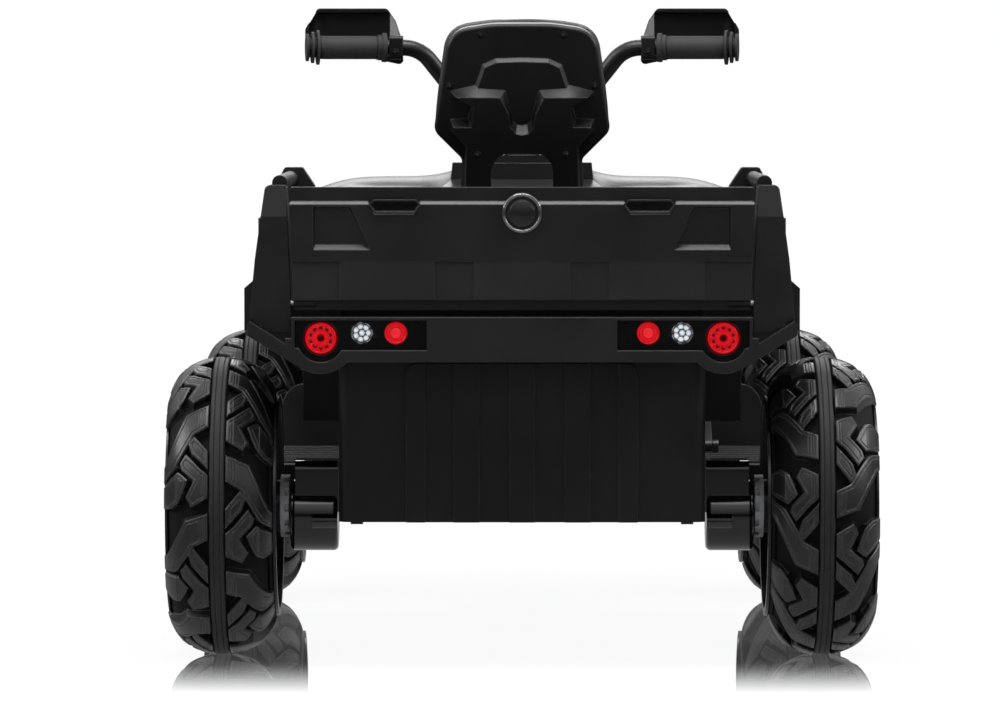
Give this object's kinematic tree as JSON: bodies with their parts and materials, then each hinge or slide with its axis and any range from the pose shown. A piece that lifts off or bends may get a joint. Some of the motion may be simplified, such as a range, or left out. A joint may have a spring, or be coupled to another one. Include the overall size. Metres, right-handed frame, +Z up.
{
  "type": "kids quad bike",
  "caption": "Battery ride-on quad bike for a child with handlebar steering, lugged tyres, backrest and a small cargo bed with a drop-down tailgate.",
  "frame": {"origin": "on the ground under the middle of the whole machine", "axes": "+Y forwards, +X to the rider's right, +Z up"},
  "size_m": [0.71, 1.09, 0.658],
  "materials": {
    "black_plastic": "satin moulded",
    "gloss_black": "gloss",
    "tyre_plastic": "matte",
    "band_rubber": "matte",
    "rim_plastic": "semi-gloss",
    "grey_plastic": "satin",
    "steel": "zinc plated",
    "black_tube": "satin powder coat",
    "red_lens": "clear tinted",
    "clear_lens": "clear",
    "seat_leather": "soft grain",
    "grip_rubber": "knurled",
    "badge_plastic": "satin gloss",
    "battery_case": "matte"
  },
  "bodies": {
    "chassis": {"chassis_tub": "black_plastic", "rear_body": "black_plastic", "saddle_body": "black_plastic", "front_body": "black_plastic", "footboard_left": "black_plastic", "footboard_right": "black_plastic", "rear_bumper": "black_plastic", "lamp_panels": "gloss_black", "tail_lenses": "red_lens", "reversing_lenses": "clear_lens", "stop_lenses": "red_lens", "tailgate_pins": "steel", "grab_rail_left": "black_tube", "grab_rail_right": "black_tube", "backrest_shell": "black_plastic", "backrest_pad": "seat_leather", "seat_pad": "seat_leather", "rear_axle": "steel", "gearbox_left": "gloss_black", "gearbox_right": "gloss_black", "drive_motors": "steel", "battery": "battery_case", "front_bumper": "black_tube", "front_grille": "black_plastic", "headlamp_lenses": "clear_lens", "front_axle_beam": "steel", "dash_panel": "black_plastic"},
    "tailgate": {"tailgate": "black_plastic", "tailgate_badge": "badge_plastic"},
    "steering": {"steering_column": "steel", "handlebar": "black_tube", "handlebar_clamp": "black_plastic", "grip_left": "grip_rubber", "grip_right": "grip_rubber", "hand_guard_left": "black_plastic", "hand_guard_right": "black_plastic"},
    "knuckle_left": {"knuckle_left": "steel"},
    "knuckle_right": {"knuckle_right": "steel"},
    "tie_rod": {"tie_rod": "steel"},
    "throttle_pedal": {"throttle_pedal": "black_plastic"},
    "power_button": {"power_button": "red_lens"},
    "direction_switch": {"direction_switch": "grey_plastic"},
    "front_left_wheel": {"front_left_tyre": "tyre_plastic", "front_left_traction_band": "band_rubber", "front_left_rim": "rim_plastic", "front_left_hub_cap": "rim_plastic"},
    "front_right_wheel": {"front_right_tyre": "tyre_plastic", "front_right_traction_band": "band_rubber", "front_right_rim": "rim_plastic", "front_right_hub_cap": "rim_plastic"},
    "rear_left_wheel": {"rear_left_tyre": "tyre_plastic", "rear_left_traction_band": "band_rubber", "rear_left_rim": "rim_plastic", "rear_left_hub_cap": "rim_plastic", "drive_coupling_left": "grey_plastic"},
    "rear_right_wheel": {"rear_right_tyre": "tyre_plastic", "rear_right_traction_band": "band_rubber", "rear_right_rim": "rim_plastic", "rear_right_hub_cap": "rim_plastic", "drive_coupling_right": "grey_plastic"}
  },
  "joints": [
    {"name": "tailgate_fold", "type": "hinge", "parent": "chassis", "child": "tailgate", "pos_m": [0, -0.521, 0.36], "axis": [1, 0, 0], "range_deg": [0, 90]},
    {"name": "steer", "type": "hinge", "parent": "chassis", "child": "steering", "pos_m": [0, 0.28729, 0.24119], "axis": [0, -0.342, 0.9397], "range_deg": [-25, 25]},
    {"name": "knuckle_left_turn", "type": "hinge", "parent": "chassis", "child": "knuckle_left", "pos_m": [-0.215, 0.315, 0.15], "axis": [0, 0, 1], "range_deg": [-25, 25]},
    {"name": "knuckle_right_turn", "type": "hinge", "parent": "chassis", "child": "knuckle_right", "pos_m": [0.215, 0.315, 0.15], "axis": [0, 0, 1], "range_deg": [-25, 25]},
    {"name": "tie_rod_swing", "type": "hinge", "parent": "knuckle_left", "child": "tie_rod", "pos_m": [-0.215, 0.27, 0.2258], "axis": [0, 0, 1], "range_deg": [-25, 25]},
    {"name": "pedal_press", "type": "hinge", "parent": "chassis", "child": "throttle_pedal", "pos_m": [0.1759, -0.018, 0.19], "axis": [-1, 0, 0], "range_deg": [0, 12], "stiffness_Nm_per_rad": 1.5, "springref_deg": -8.59},
    {"name": "power_press", "type": "slide", "parent": "chassis", "child": "power_button", "axis": [0, 0, -1], "range_m": [0, 0.002], "stiffness_N_per_m": 400, "springref_m": -0.001},
    {"name": "direction_rock", "type": "hinge", "parent": "chassis", "child": "direction_switch", "pos_m": [0.034, 0.1255, 0.4975], "axis": [1, 0, 0], "range_deg": [-8, 8]},
    {"name": "front_left_spin", "type": "hinge", "parent": "knuckle_left", "child": "front_left_wheel", "pos_m": [-0.301, 0.315, 0.15], "axis": [1, 0, 0], "continuous": true},
    {"name": "front_right_spin", "type": "hinge", "parent": "knuckle_right", "child": "front_right_wheel", "pos_m": [0.301, 0.315, 0.15], "axis": [1, 0, 0], "continuous": true},
    {"name": "rear_left_spin", "type": "hinge", "parent": "chassis", "child": "rear_left_wheel", "pos_m": [-0.301, -0.365, 0.15], "axis": [1, 0, 0], "continuous": true},
    {"name": "rear_right_spin", "type": "hinge", "parent": "chassis", "child": "rear_right_wheel", "pos_m": [0.301, -0.365, 0.15], "axis": [1, 0, 0], "continuous": true}
  ],
  "couplings": [
    {"joint": "knuckle_left_turn", "follows": "steer", "ratio": 1},
    {"joint": "knuckle_right_turn", "follows": "steer", "ratio": 1},
    {"joint": "tie_rod_swing", "follows": "steer", "ratio": -1}
  ]
}
